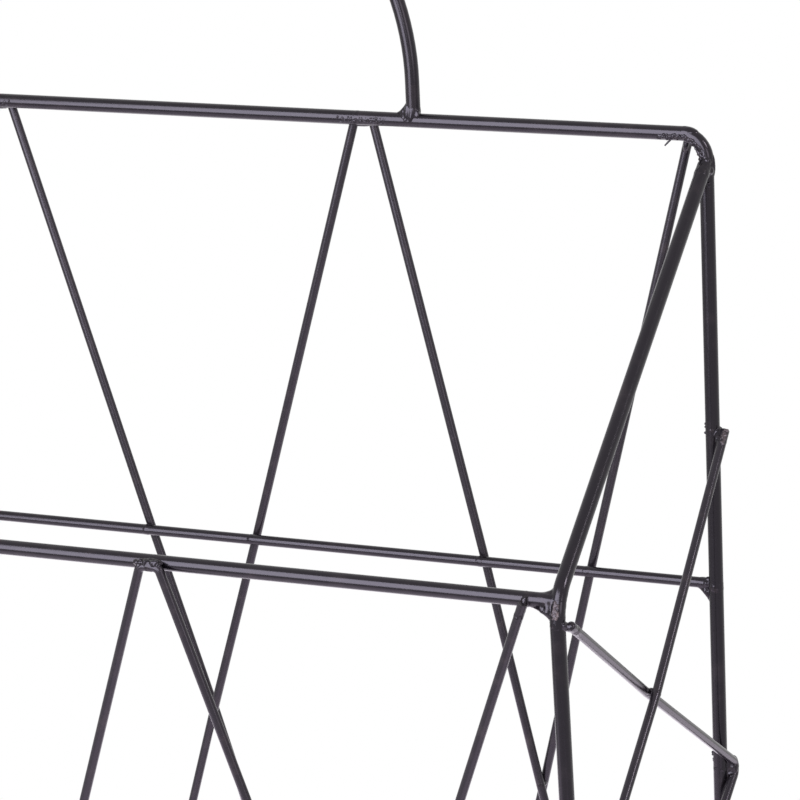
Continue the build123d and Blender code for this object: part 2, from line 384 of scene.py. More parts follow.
def collar(at: Vector, along: Vector, rod: float, reach: float, skin: float) -> Blob:
    """Makes weld metal that wraps a rod and dips into it at both ends.

    Args:
        at: A point of the rod's axis.
        along: The rod's direction.
        rod: The rod's radius.
        reach: Length of the metal to each side.
        skin: How far the metal stands out round the rod.

    Returns:
        A long blob on the rod's axis.
    """
    return Blob(at, rod + skin, along, reach)


def drops_at(joint: Vector, *drops: tuple) -> list[Blob]:
    """Places drops by their offsets from a joint.

    Args:
        joint: The point that the offsets start from.
        drops: For each drop its offset and radius and, for a long one, its direction and reach.

    Returns:
        The drops.
    """
    return [Blob(joint + Vector(offset), *form) for offset, *form in drops]


def scatter(chance: random.Random, count: int, at: Vector, spans: tuple[tuple[Vector, float, float], ...],
            radii: tuple[float, float]) -> list[Blob]:
    """Scatters rough drops round a point.

    Args:
        chance: Source of the scatter, which gives the same drops on each run.
        count: Number of drops.
        at: The point.
        spans: Directions, each with the least and the greatest distance along it.
        radii: The least and the greatest radius.

    Returns:
        The drops.
    """
    drops = []
    for _ in range(count):
        place = at.copy()
        for direction, least, greatest in spans:
            place += direction * chance.uniform(least, greatest)
        drops.append(Blob(place, chance.uniform(*radii)))
    return drops


@dataclass(frozen=True)
class Web:
    """Weld metal that fills the corner between two rods with a hollow slope.

    Attributes:
        corner: Where the faces of the rods meet.
        leg_a: From the corner along the first rod to the metal's end.
        leg_b: From the corner along the second rod to the metal's end.
        fattest: Largest radius of a drop, in millimetres.
        hollow: How hollow the slope is, where 1 is straight.
        lean: How much the front row falls short of the back row, as a share of the legs.
        thinnest: Radius of a drop at the tips, in millimetres.
        swell: How much the radius grows with the distance from the nearer rod.
        sink: How deep the drops lie under the slope, in radii.
        row_gap: Distance of the outer rows from the middle one, in radii.
        row_drops: Number of drops in a row.
    """

    corner: Vector
    leg_a: Vector
    leg_b: Vector
    fattest: float = 1.2
    hollow: float = 1.5
    lean: float = 0.0
    thinnest: float = 0.40
    swell: float = 0.5
    sink: float = 1.15
    row_gap: float = 0.7
    row_drops: int = 9

    def drops(self) -> list[Blob]:
        """Gives the metal.

        Returns:
            Three rows of drops side by side under the slope.
        """
        outward = (self.leg_a.normalized() + self.leg_b.normalized()).normalized()
        sideways = self.leg_a.cross(self.leg_b).normalized()
        drops = []
        for row, length in ((-self.row_gap, 1 - self.lean), (0.0, 1 - self.lean / 2), (self.row_gap, 1.0)):
            for step in range(self.row_drops):
                share = (step + 0.5) / self.row_drops
                along_a, along_b = length * (1 - share) ** self.hollow, length * share ** self.hollow
                room = min(along_b * self.leg_b.length, along_a * self.leg_a.length)
                radius = min(self.fattest, self.thinnest + self.swell * room)
                slope = self.corner + self.leg_a * along_a + self.leg_b * along_b
                spot = slope - outward * radius * self.sink
                drops.append(Blob(spot + sideways * row * radius, radius))
        return drops


@dataclass
class WeldSeams:
    """Weld metal of one group of joints.

    Attributes:
        name: The piece's name.
        blobs: The drops that the metal is made from.
        node: The frame's node with the plain beads that the piece replaces, if any.
        mirrored: True where the drops are those of the right side, and the left side gets the same.
        copy_of: Name of the finished piece on the other side that this one is a copy of, if any.
        voxel: Grid size of the fused metal, in millimetres.
        flow: How many times the metal is smoothed, which makes its fillets.
        flow_step: How far each smoothing goes.
        ripple_size: Size of the ripples on the metal, in millimetres.
        ripple: Height of the ripples, in millimetres.
    """

    name: str
    blobs: list[Blob] = field(default_factory=list)
    node: str = ""
    mirrored: bool = False
    copy_of: str = ""
    voxel: float = 0.22
    flow: int = 14
    flow_step: float = 0.6
    ripple_size: float = 1.1
    ripple: float = 0.07

    def build(self, drop: bpy.types.Object) -> bpy.types.Object:
        """Models the metal: drops are copied into place, joined, fused, smoothed and rippled.

        Args:
            drop: The round drop that is copied.

        Returns:
            The piece, at the origin, with its place in its mesh.
        """
        bpy.ops.object.select_all(action="DESELECT")
        if self.copy_of:
            return self._copy_across(bpy.data.objects[self.copy_of])
        copies = [blob.copied(drop) for blob in self.blobs]
        for copy in copies:
            copy.select_set(True)
        bpy.context.view_layer.objects.active = copies[0]
        bpy.context.view_layer.update()
        bpy.ops.object.join()
        piece = bpy.context.object
        piece.name = piece.data.name = self.name
        bpy.ops.object.transform_apply(location=True, rotation=True, scale=True)
        self._fuse(piece)
        return piece

    def _fuse(self, piece: bpy.types.Object) -> None:
        """Fuses, smooths, ripples and mirrors the metal with modifiers, and applies them.

        Args:
            piece: The joined drops.
        """
        fuse = piece.modifiers.new("fuse", "REMESH")
        fuse.mode = "VOXEL"
        fuse.voxel_size = self.voxel * MM
        fillet = piece.modifiers.new("fillet", "SMOOTH")
        fillet.factor = self.flow_step
        fillet.iterations = self.flow
        ripple = piece.modifiers.new("ripple", "DISPLACE")
        ripple.texture = bpy.data.textures.new(f"{self.name} ripple", "CLOUDS")
        ripple.texture.noise_scale = self.ripple_size * MM
        ripple.strength = 2 * self.ripple * MM
        ripple.mid_level = 0.5
        if self.mirrored:
            piece.modifiers.new("other side", "MIRROR")
        for name in [modifier.name for modifier in piece.modifiers]:
            bpy.ops.object.modifier_apply(modifier=name)
        bpy.ops.object.shade_smooth()

    def _copy_across(self, piece: bpy.types.Object) -> bpy.types.Object:
        """Copies a finished piece to the rack's other side and turns its faces outwards.

        Args:
            piece: The piece on the right side.

        Returns:
            The copy on the left side.
        """
        piece.select_set(True)
        bpy.context.view_layer.objects.active = piece
        bpy.ops.object.duplicate()
        twin = bpy.context.object
        twin.name = twin.data.name = self.name
        twin.scale.x = -1
        bpy.ops.object.transform_apply(location=True, rotation=True, scale=True)
        bpy.ops.object.mode_set(mode="EDIT")
        bpy.ops.mesh.select_all(action="SELECT")
        bpy.ops.mesh.normals_make_consistent(inside=False)
        bpy.ops.object.mode_set(mode="OBJECT")
        return twin

    def dress(self, piece: bpy.types.Object, coat: bpy.types.Material) -> None:
        """Paints the metal and lets it ride on the rack.

        Args:
            piece: The modelled metal.
            coat: The coat over it.
        """
        piece.data.materials.clear()
        piece.data.materials.append(coat)
        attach(piece, BODY)
        if self.node:
            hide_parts(self.node)
        LOG.info("built %s with %d faces", piece.name, len(piece.data.polygons))


@dataclass
class FrameJoints:
    """Welds between the thick rods of the frame.

    Attributes:
        sizes: Sizes of the rack.
        bead_seed: Seed of the ragged beads in the hoop's bends.
        bead_count: Number of drops in a bead.
        bead_start: Where a bead starts, in degrees up from the post's end of the bend.
        bead_sweep: Degrees that the whole bead would take up if it stayed in the bend.
        bead_run: Length that the whole bead would have on the straight bar.
        bead_facing: Least and greatest turn of a drop from the front to the inside, in degrees.
        bead_sink: Where the drops sit, as a share of the way from the bend's centre to the rod's face.
        bead_radii: Least and greatest radius of a drop.
    """

    sizes: RackSizes
    bead_seed: int = 11
    bead_count: int = 110
    bead_start: float = -6.0
    bead_sweep: float = 150.0
    bead_run: float = 17.0
    bead_facing: tuple[float, float] = (-4.0, 40.0)
    bead_sink: float = 0.985
    bead_radii: tuple[float, float] = (0.24, 0.48)

    def handle_feet(self) -> WeldSeams:
        """Makes the seams round the feet of the carry handle.

        Returns:
            Collars, drops in front and a web on the inner side.
        """
        rack = self.sizes
        foot = Vector((rack.handle_x, rack.rear_y, rack.rear_height + rack.rod))
        blobs = [collar(foot - Vector((0.8, 0, rack.rod)), ACROSS, rack.rod, reach=4.6, skin=0.06),
                 collar(foot + Vector((0, 0, 0.6)), UP, rack.rod, reach=3.8, skin=0.16)]
        blobs += drops_at(foot, ((-1.3, -1.35, 0.1), 0.85, UP, 2.8), ((-0.1, -1.6, -0.9), 0.65, UP, 1.6),
                          ((1.7, -1.1, -0.5), 0.8, UP, 1.5), ((-2.6, -1.4, -1.0), 0.6),
                          ((-1.9, -1.7, -1.7), 0.55), ((-3.3, -1.1, -0.8), 0.55))
        blobs += Web(foot - ACROSS * rack.rod, Vector((-3.4, 0, 0)), Vector((0, 0, 3.4)), hollow=1.3).drops()
        return WeldSeams("handle_weld_seams", blobs, "handle_welds", mirrored=True, voxel=0.18, ripple=0.04)

    def front_corners(self) -> WeldSeams:
        """Makes the seams of the front bar, the sloping rods and the front posts.

        Returns:
            Collars round the bends, and webs above and below the bar.
        """
        rack = self.sizes
        corner = rack.front_bend(0.0)
        bend = [rack.front_bend(angle) for angle in (-0.45, -0.2, 0.05, 0.3)]
        low, high = rack.front_bend(-0.17), rack.front_bend(0.17)
        blobs = [collar(corner - Vector((4.0, 0, 0)), ACROSS, rack.rod, reach=5.4, skin=0.12)]
        blobs += [collar((start + end) / 2, (end - start).normalized(), rack.rod, reach=3.6, skin=0.10)
                  for start, end in zip(bend, bend[1:])]
        blobs += Web(low - ACROSS * rack.rod, Vector((-5.8, 0, 0)), rack.front_bend(-0.46) - low,
                     fattest=1.5).drops()
        blobs += Web(high - ACROSS * rack.rod, Vector((-4.6, 0, 0)), rack.front_bend(0.40) - high,
                     fattest=1.1, hollow=1.7, lean=0.5).drops()
        blobs += drops_at(corner, ((-4.2, -1.2, -0.9), 0.9, Vector((0.1, -0.22, -0.97)), 2.2),
                          ((-2.4, -1.5, -1.2), 0.9, Vector((0.2, -0.30, -0.93)), 2.4))
        return WeldSeams("front_bar_weld_seams", blobs, "front_bar_welds", mirrored=True,
                         voxel=0.18, flow=26, ripple_size=1.8, ripple=0.05)

    def slope_tops(self) -> WeldSeams:
        """Makes the seams at the sloping rods' upper ends.

        Returns:
            Collars and drops, with a flat at the end of the hoop's bend.
        """
        rack = self.sizes
        end = rack.slope_top - rack.slope * (rack.rod + rack.weld_gap)
        blobs = [collar(end - rack.slope * 2.6, rack.slope, rack.rod, reach=4.4, skin=0.14),
                 collar(rack.slope_top - Vector((0, 0, 2.5)), UP, rack.rod, reach=5.0, skin=0.18)]
        blobs += drops_at(rack.slope_top, ((1.5, 0.3, -1.6), 0.9, UP, 3.6),
                          ((0.1, -1.45, 1.2), 0.8, Vector((-0.2, 0, 0.98)), 2.4))
        blobs.append(Blob(end - rack.slope * 2.4 + ACROSS.cross(rack.slope) * 1.5, 0.8, rack.slope, 2.6))
        blobs += drops_at(end, ((-1.3, 0.6, -0.6), 1.2), ((1.4, 0.6, -1.2), 1.1), ((0.7, 0.3, 1.4), 1.2))
        return WeldSeams("slope_weld_seams", blobs, "slope_welds", mirrored=True, voxel=0.18, flow=10)

    def bend_beads(self) -> WeldSeams:
        """Makes ragged beads on the inner front face of the hoop's bends, out along the top bar.

        Returns:
            A row of uneven drops on each side.
        """
        rack = self.sizes
        chance = random.Random(self.bead_seed)
        centre = Vector((rack.half_width - rack.hoop_bend, rack.rear_y, rack.rear_height - rack.hoop_bend))
        bend_end = 90.0
        bend_share = (bend_end - self.bead_start) / self.bead_sweep
        drops = []
        for step in range(self.bead_count):
            share = step / (self.bead_count - 1)
            angle = math.radians(min(bend_end, self.bead_start + self.bead_sweep * share))
            ahead = max(0.0, share - bend_share) * self.bead_run
            facing = math.radians(chance.uniform(*self.bead_facing))
            inward = rack.hoop_bend - rack.rod * math.sin(facing)
            spot = Vector((inward * math.cos(angle) - ahead, -rack.rod * math.cos(facing),
                           inward * math.sin(angle)))
            drops.append(Blob(centre + spot * self.bead_sink, chance.uniform(*self.bead_radii)))
        return WeldSeams("bend_bead_seams", drops, mirrored=True,
                         voxel=0.14, flow=4, ripple_size=0.7, ripple=0.08)

    def brace_ends(self) -> WeldSeams:
        """Makes the seams between the thin brace and the rear posts.

        Returns:
            Collars and drops, with a web below the brace.
        """
        rack = self.sizes
        end = Vector((rack.half_width - rack.rod, rack.brace_bar.y, rack.brace_bar.z))
        post = Vector((rack.half_width, rack.rear_y, rack.brace_bar.z))
        blobs = [collar(end - Vector((1.6, 0, 0)), ACROSS, rack.brace, reach=4.4, skin=0.16),
                 collar(post - Vector((0, 0, 0.6)), UP, rack.rod, reach=4.4, skin=0.12)]
        blobs += drops_at(end, ((-0.7, -1.1, 0.3), 0.8), ((-0.4, -0.2, 1.0), 1.0))
        blobs += Web(end - UP * rack.brace, Vector((-4.0, 0, 0)), Vector((0, 0, -5.0)), fattest=1.0).drops()
        return WeldSeams("brace_weld_seams", blobs, "brace_welds", mirrored=True, voxel=0.18, flow=10)

    def base_corners(self) -> WeldSeams:
        """Makes the seams between the base bars, the posts and the floor runners.

        Returns:
            A collar and drops at each end of a bar, and drops at the runners' rear ends.
        """
        rack = self.sizes
        blobs = []
        for bar, drops in ((rack.front_base, (((-0.3, 0.5, 1.6), 1.3), ((-0.3, -0.8, -0.9), 1.3))),
                           (rack.rear_base, (((-0.4, -0.4, 1.7), 1.4), ((-0.4, -0.9, -1.0), 1.3)))):
            end = Vector((rack.half_width - rack.rod, bar.y, bar.z))
            blobs.append(collar(end - Vector((1.8, 0, 0)), ACROSS, rack.rod, reach=5.0, skin=0.2))
            blobs += drops_at(end, *drops)
        runner = Vector((rack.half_width, rack.rear_y - rack.rod, rack.rod))
        blobs += drops_at(runner, ((-1.2, -0.3, 0.9), 1.2), ((0.9, -0.3, 0.9), 1.2))
        return WeldSeams("base_weld_seams", blobs, "base_welds", mirrored=True)

    def seams(self) -> list[WeldSeams]:
        """Gives the frame's seams in the order in which they are built."""
        return [self.handle_feet(), self.front_corners(), self.slope_tops(), self.bend_beads(),
                self.brace_ends(), self.base_corners()]


@dataclass(frozen=True)
class Panel:
    """The plane of a lattice: where it starts, and its directions along, up and out of the rack."""

    origin: Vector
    along: Vector
    up: Vector
    out: Vector

    def point(self, spot: Vector, offset: float = 0.0) -> Vector:
        """Gives the place of a spot of the panel, at an offset out of it."""
        return self.origin + self.along * spot.x + self.up * spot.y + self.out * offset

    def heading(self, start: Vector, end: Vector) -> Vector:
        """Gives the direction from one spot of the panel to another."""
        return (self.along * (end.x - start.x) + self.up * (end.y - start.y)).normalized()


@dataclass
class LatticeJoints:
    """Welds of the zigzag wires: on the frame, where they cross, and on the brace.

    Attributes:
        sizes: Sizes of the rack.
        seat_reach: How far the metal of a seat runs along a wire to each side.
        cross_reach: How far the metal of a crossing or a tie runs along a wire to each side.
        rod_skin: How far the metal of a seat stands out round the frame rod.
        seat_skin: How far it stands out round the wire.
        cross_skin: How far the metal of a crossing or a tie stands out round a wire.
        front_seed: Seed of the rough drops on the upper flats of the front lattice.
        front_drops: Number of those drops on a flat.
        side_seed: Seed of the rough drops below the rear flats of the side lattices.
        side_drops: Number of those drops at a flat.
    """

    sizes: RackSizes
    seat_reach: float = 3.6
    cross_reach: float = 2.6
    rod_skin: float = 0.08
    seat_skin: float = 0.10
    cross_skin: float = 0.06
    front_seed: int = 21
    front_drops: int = 26
    side_seed: int = 31
    side_drops: int = 24

    def seat(self, panel: Panel, spot: Vector, rod_at: Vector, rod_along: Vector, heading: Vector,
             at_end: bool) -> list[Blob]:
        """Makes the metal between a wire and the frame rod that it lies on.

        Args:
            panel: The lattice's plane.
            spot: The weld's spot in the panel.
            rod_at: A point of the rod's axis beside the weld.
            rod_along: The rod's direction.
            heading: The wire's direction at the weld, away from its end.
            at_end: True where the wire ends at the weld, which leaves its cut face bare.

        Returns:
            Collars on the rod and the wire, and drops in the two grooves between them.
        """
        rack = self.sizes
        wire_at = panel.point(spot, rack.seat)
        contact = panel.point(spot, rack.rod + rack.weld_gap / 2)
        side = panel.out.cross(rod_along)
        rod_collar = collar(rod_at, rod_along, rack.rod, self.seat_reach + 0.6, self.rod_skin)
        if at_end:
            middle = wire_at + heading * self.seat_reach
            return [rod_collar, collar(middle, heading, rack.wire, self.seat_reach, self.seat_skin),
                    Blob(contact + heading * 1.4 + side * 0.5, 0.85, heading, 2.4),
                    Blob(contact + heading * 1.4 - side * 0.5, 0.85, heading, 2.4)]
        return [rod_collar, collar(wire_at, heading, rack.wire, self.seat_reach, self.seat_skin),
                Blob(wire_at + side * 0.35, 1.3, heading, 3.0),
                Blob(contact + side * 0.8, 1.0, rod_along, 3.6),
                Blob(contact - side * 0.8, 1.0, rod_along, 3.6)]

    def cross(self, panel: Panel, spot: Vector, outer: Vector, inner: Vector) -> list[Blob]:
        """Makes the metal between two wires that cross.

        Args:
            panel: The lattice's plane.
            spot: The crossing's spot in the panel.
            outer: Direction of the outer wire.
            inner: Direction of the inner wire.

        Returns:
            Collars on both wires, a drop between them and metal that ran along the inner wire.
        """
        rack = self.sizes
        apart = rack.wire + rack.weld_gap / 2
        outer_at, inner_at = panel.point(spot, rack.seat + apart), panel.point(spot, rack.seat - apart)
        return [collar(outer_at, outer, rack.wire, self.cross_reach, self.cross_skin),
                collar(inner_at, inner, rack.wire, self.cross_reach, self.cross_skin),
                Blob(panel.point(spot, rack.seat), 0.95, (outer + inner).normalized(), 1.5),
                Blob(panel.point(spot, rack.seat - apart / 2) - inner * 1.7, 0.95, inner, 2.4)]

    def wire_seats(self, panel: Panel, corners: list[Vector], rod_along: Vector,
                   lift: float = 0.0) -> list[Blob]:
        """Makes the seats of a zigzag on the bars above and below: its ends and its flats.

        Args:
            panel: The lattice's plane.
            corners: The zigzag's corners, with a flat at each apex.
            rod_along: Direction of the bars.
            lift: How far the upper bar's axis is above the upper welds.

        Returns:
            The metal of all the seats.
        """
        top = max(corner.y for corner in corners)
        seats = [(corners[0], corners[0], corners[1]), (corners[-1], corners[-1], corners[-2])]
        seats += [((a + b) / 2, a, b) for a, b in zip(corners[1:-1:2], corners[2:-1:2])]
        blobs = []
        for spot, start, end in seats:
            rod_at = panel.point(spot + Vector((0, lift if spot.y == top else 0)))
            blobs += self.seat(panel, spot, rod_at, rod_along, panel.heading(start, end), spot is start)
        return blobs

    def crossings(self, panel: Panel, outer: list[Vector], inner: list[Vector]) -> list[Blob]:
        """Makes the metal where the legs of two zigzags cross.

        Args:
            panel: The lattice's plane.
            outer: Corners of the outer wire.
            inner: Corners of the inner wire, in the order of the outer one's legs.

        Returns:
            The metal of all the crossings.
        """
        blobs = []
        for leg_a, leg_b in zip(zip(outer[0::2], outer[1::2]), zip(inner[0::2], inner[1::2])):
            spot = intersect_line_line_2d(*leg_a, *leg_b)
            blobs += self.cross(panel, spot, panel.heading(*leg_a), panel.heading(*leg_b))
        return blobs

    def zigzag(self, top: float, base: float, top_end: float, base_end: float,
               top_apex: float, base_apex: float) -> list[Vector]:
        """Gives the corners of a wire from its upper end at one side to its lower end at the other.

        Args:
            top: Height of the upper welds in the panel.
            base: Height of the lower welds.
            top_end: Place of the upper end, from the panel's middle.
            base_end: Place of the lower end, from the panel's middle to the other side.
            top_apex: Place of the upper flat, from the panel's middle to the other side.
            base_apex: Place of the lower flat, from the panel's middle.

        Returns:
            The two ends and, between them, the ends of the two flats.
        """
        half = self.sizes.apex_half
        places = ((top_end, top), (base_apex + half, base), (base_apex - half, base),
                  (half - top_apex, top), (-half - top_apex, top), (-base_end, base))
        return [Vector(place) for place in places]

    @staticmethod
    def flipped(corners: list[Vector]) -> list[Vector]:
        """Gives the zigzag of the other wire, in the order of the first one's legs."""
        return [Vector((-corner.x, corner.y)) for corner in reversed(corners)]

    def rear(self) -> WeldSeams:
        """Makes the seams of the rear lattice.

        Returns:
            The seats on the hoop and the base bar, the crossings, and the ties to the brace.
        """
        rack = self.sizes
        panel = Panel(Vector((0, rack.rear_y, 0)), -ACROSS, UP, BACK)
        inner = self.zigzag(rack.rear_height - rack.rear_top_drop, rack.rear_base.z,
                            rack.half_width - rack.rear_top_inset, rack.half_width - rack.rear_base_inset,
                            rack.rear_top_apex, rack.rear_base_apex)
        outer = self.flipped(inner)
        blobs = self.crossings(panel, outer, inner)
        for corners in (outer, inner):
            blobs += self.wire_seats(panel, corners, ACROSS, rack.rear_top_drop)
            for start, end in zip(corners[0::2], corners[1::2]):
                spot = start.lerp(end, (rack.brace_bar.z - start.y) / (end.y - start.y))
                blobs += self._tie(panel, spot, panel.heading(start, end))
        return WeldSeams("rear_lattice_weld_seams", blobs, "rear_lattice_welds")

    def _tie(self, panel: Panel, spot: Vector, heading: Vector) -> list[Blob]:
        """Makes the metal between a rear wire and the brace.

        Args:
            panel: The lattice's plane.
            spot: Where the wire passes the brace, in the panel.
            heading: The wire's direction.

        Returns:
            Collars on the brace and the wire, and a drop between them.
        """
        rack = self.sizes
        brace_at = Vector((panel.point(spot).x, rack.brace_bar.y, rack.brace_bar.z))
        wire_at = panel.point(spot, rack.seat)
        return [collar(brace_at, ACROSS, rack.brace, reach=3.0, skin=0.14),
                collar(wire_at, heading, rack.wire, self.cross_reach, self.cross_skin),
                Blob(brace_at.lerp(wire_at, 0.5), 1.0, ACROSS, 1.8)]

    def front(self) -> WeldSeams:
        """Makes the seams of the front lattice.

        Returns:
            The crossings and the seats on the front bars, with rough drops on the upper flats.
        """
        rack = self.sizes
        rise = rack.front_rise
        up = rise.normalized()
        panel = Panel(Vector((0, rack.front_base.y, rack.front_base.z)), ACROSS, up, ACROSS.cross(up))
        outer = self.zigzag(rise.length, 0.0, rack.half_width - rack.front_top_inset,
                            rack.half_width - rack.front_base_inset,
                            rack.front_top_apex, rack.front_base_apex)
        inner = self.flipped(outer)
        blobs = self.crossings(panel, outer, inner)
        for corners in (outer, inner):
            blobs += self.wire_seats(panel, corners, ACROSS)
        chance = random.Random(self.front_seed)
        spans = ((ACROSS, -3.9, 3.9), (panel.out, 0.1, 0.7), (up, 0.0, 1.5))
        for apex in (rack.front_top_apex, -rack.front_top_apex):
            flat = panel.point(Vector((apex, rise.length)), rack.seat)
            blobs += scatter(chance, self.front_drops, flat, spans, radii=(0.45, 0.8))
        return WeldSeams("front_lattice_weld_seams", blobs, "front_lattice_welds",
                         flow=5, ripple_size=0.7, ripple=0.14)

    def right_side(self) -> WeldSeams:
        """Makes the seams of the right side lattice.

        Returns:
            The seats on the front post and the rear post, and the crossings.
        """
        rack = self.sizes
        panel = Panel(Vector((rack.half_width, 0, 0)), BACK, UP, ACROSS)
        chance = random.Random(self.side_seed)
        wires = [self._side_welds(starts_rear=True), self._side_welds(starts_rear=False)]
        blobs = []
        for welds in wires:
            for index in range(len(welds)):
                blobs += self._side_seat(panel, welds, index, chance)
        for index in range(rack.side_leg_count):
            leg_a, leg_b = (self._side_leg(welds, index) for welds in wires)
            spot = intersect_line_line_2d(*leg_a, *leg_b)
            blobs += self.cross(panel, spot, panel.heading(*leg_a), panel.heading(*leg_b))
        return WeldSeams("right_lattice_weld_seams", blobs, "right_lattice_welds",
                         flow=6, ripple_size=0.8, ripple=0.10)

    def _side_welds(self, starts_rear: bool) -> list[Vector]:
        """Gives the welds of a side wire, from its upper end down.

        Args:
            starts_rear: True for the wire that starts on the rear post.

        Returns:
            Spots in the panel, on the two posts in turn.
        """
        rack = self.sizes
        first = rack.front_height - rack.side_first_drop
        step = (first - rack.side_last_height) / rack.side_leg_count
        leads = [rack.side_top_lead, rack.side_apex_lead] + [0.0] * (rack.side_leg_count - 1)
        welds = []
        for index, lead in enumerate(leads):
            level = first - step * index
            on_rear = starts_rear != bool(index % 2)
            place = (rack.rear_y, level + lead) if on_rear else (rack.front_post_y(level), level)
            welds.append(Vector(place))
        return welds

    def _side_seat(self, panel: Panel, welds: list[Vector], index: int, chance: random.Random) -> list[Blob]:
        """Makes the seat of a side wire on a post.

        Args:
            panel: The lattice's plane.
            welds: The wire's welds.
            index: Which of them it is.
            chance: Source of the rough drops, which gives the same ones on each run.

        Returns:
            The seat, with a dome on an end at the front and rough drops below a flat at the rear.
        """
        rack = self.sizes
        weld = welds[index]
        on_rear = weld.x > 0
        at_end = index in (0, rack.side_leg_count)
        front_up = Vector((0, rack.front_post_y(1) - rack.front_post_y(0), 1)).normalized()
        post_up = UP if on_rear else front_up
        heading, past = post_up, rack.side_apex_reach * (1 if on_rear else -1)
        if at_end:
            heading, past = panel.heading(weld, welds[1] if index == 0 else welds[-2]), 0.0
        spot = weld + Vector((past, 0))
        wire_at = panel.point(spot, rack.seat)
        blobs = self.seat(panel, spot, panel.point(weld), post_up, heading, at_end)
        if at_end and not on_rear:
            blobs.append(Blob(wire_at + heading * 0.5, rack.wire + 0.1, heading, 1.3))
        if on_rear and not at_end:
            next_leg = panel.heading(weld, welds[index + 1])
            spans = ((panel.out, -1.5, 0.5), (next_leg, -0.5, 5.5), (UP, -0.4, 1.1))
            blobs += scatter(chance, self.side_drops, wire_at - UP * 1.2, spans, radii=(0.40, 0.75))
        return blobs

    def _side_leg(self, welds: list[Vector], index: int) -> tuple[Vector, Vector]:
        """Gives a leg of a side wire, which starts and ends at the flats.

        Args:
            welds: The wire's welds.
            index: Which leg it is, from the top.

        Returns:
            The leg's upper and lower end in the panel.
        """
        rack = self.sizes
        start, end = welds[index].copy(), welds[index + 1].copy()
        to_rear = 1 if end.x > start.x else -1
        if index:
            start += Vector((-to_rear * rack.side_apex_reach, -rack.side_apex_half))
        if index + 1 < rack.side_leg_count:
            end += Vector((to_rear * rack.side_apex_reach, rack.side_apex_half))
        return start, end

    def seams(self) -> list[WeldSeams]:
        """Makes the seams of the four lattices.

        Returns:
            The rear, front, right and left seams, where the left ones are a copy of the right ones.
        """
        right = self.right_side()
        left = WeldSeams("left_lattice_weld_seams", node="left_lattice_welds", copy_of=right.name)
        return [self.rear(), self.front(), right, left]


@dataclass
class FloorJoints:
    """Welds of the floor wires on the two base bars."""

    sizes: RackSizes

    def seams(self) -> list[WeldSeams]:
        """Makes the seams of all the floor wires.

        Returns:
            One piece with a collar on bar and wire and a drop between them at each weld.
        """
        rack = self.sizes
        blobs = []
        for wire in rack.floor_wires:
            for bar in (rack.front_base, rack.rear_base):
                bar_at = Vector((wire.x, bar.y, bar.z))
                wire_at = Vector((wire.x, bar.y, wire.z))
                contact = bar_at.lerp(wire_at, (rack.rod + rack.weld_gap / 2) / rack.seat)
                blobs += [collar(bar_at, ACROSS, rack.rod, reach=3.4, skin=0.08),
                          collar(wire_at, BACK, rack.wire, reach=3.0, skin=0.08),
                          Blob(contact, 1.1, ACROSS, 1.8)]
        return [WeldSeams("floor_weld_seams", blobs, "floor_welds")]


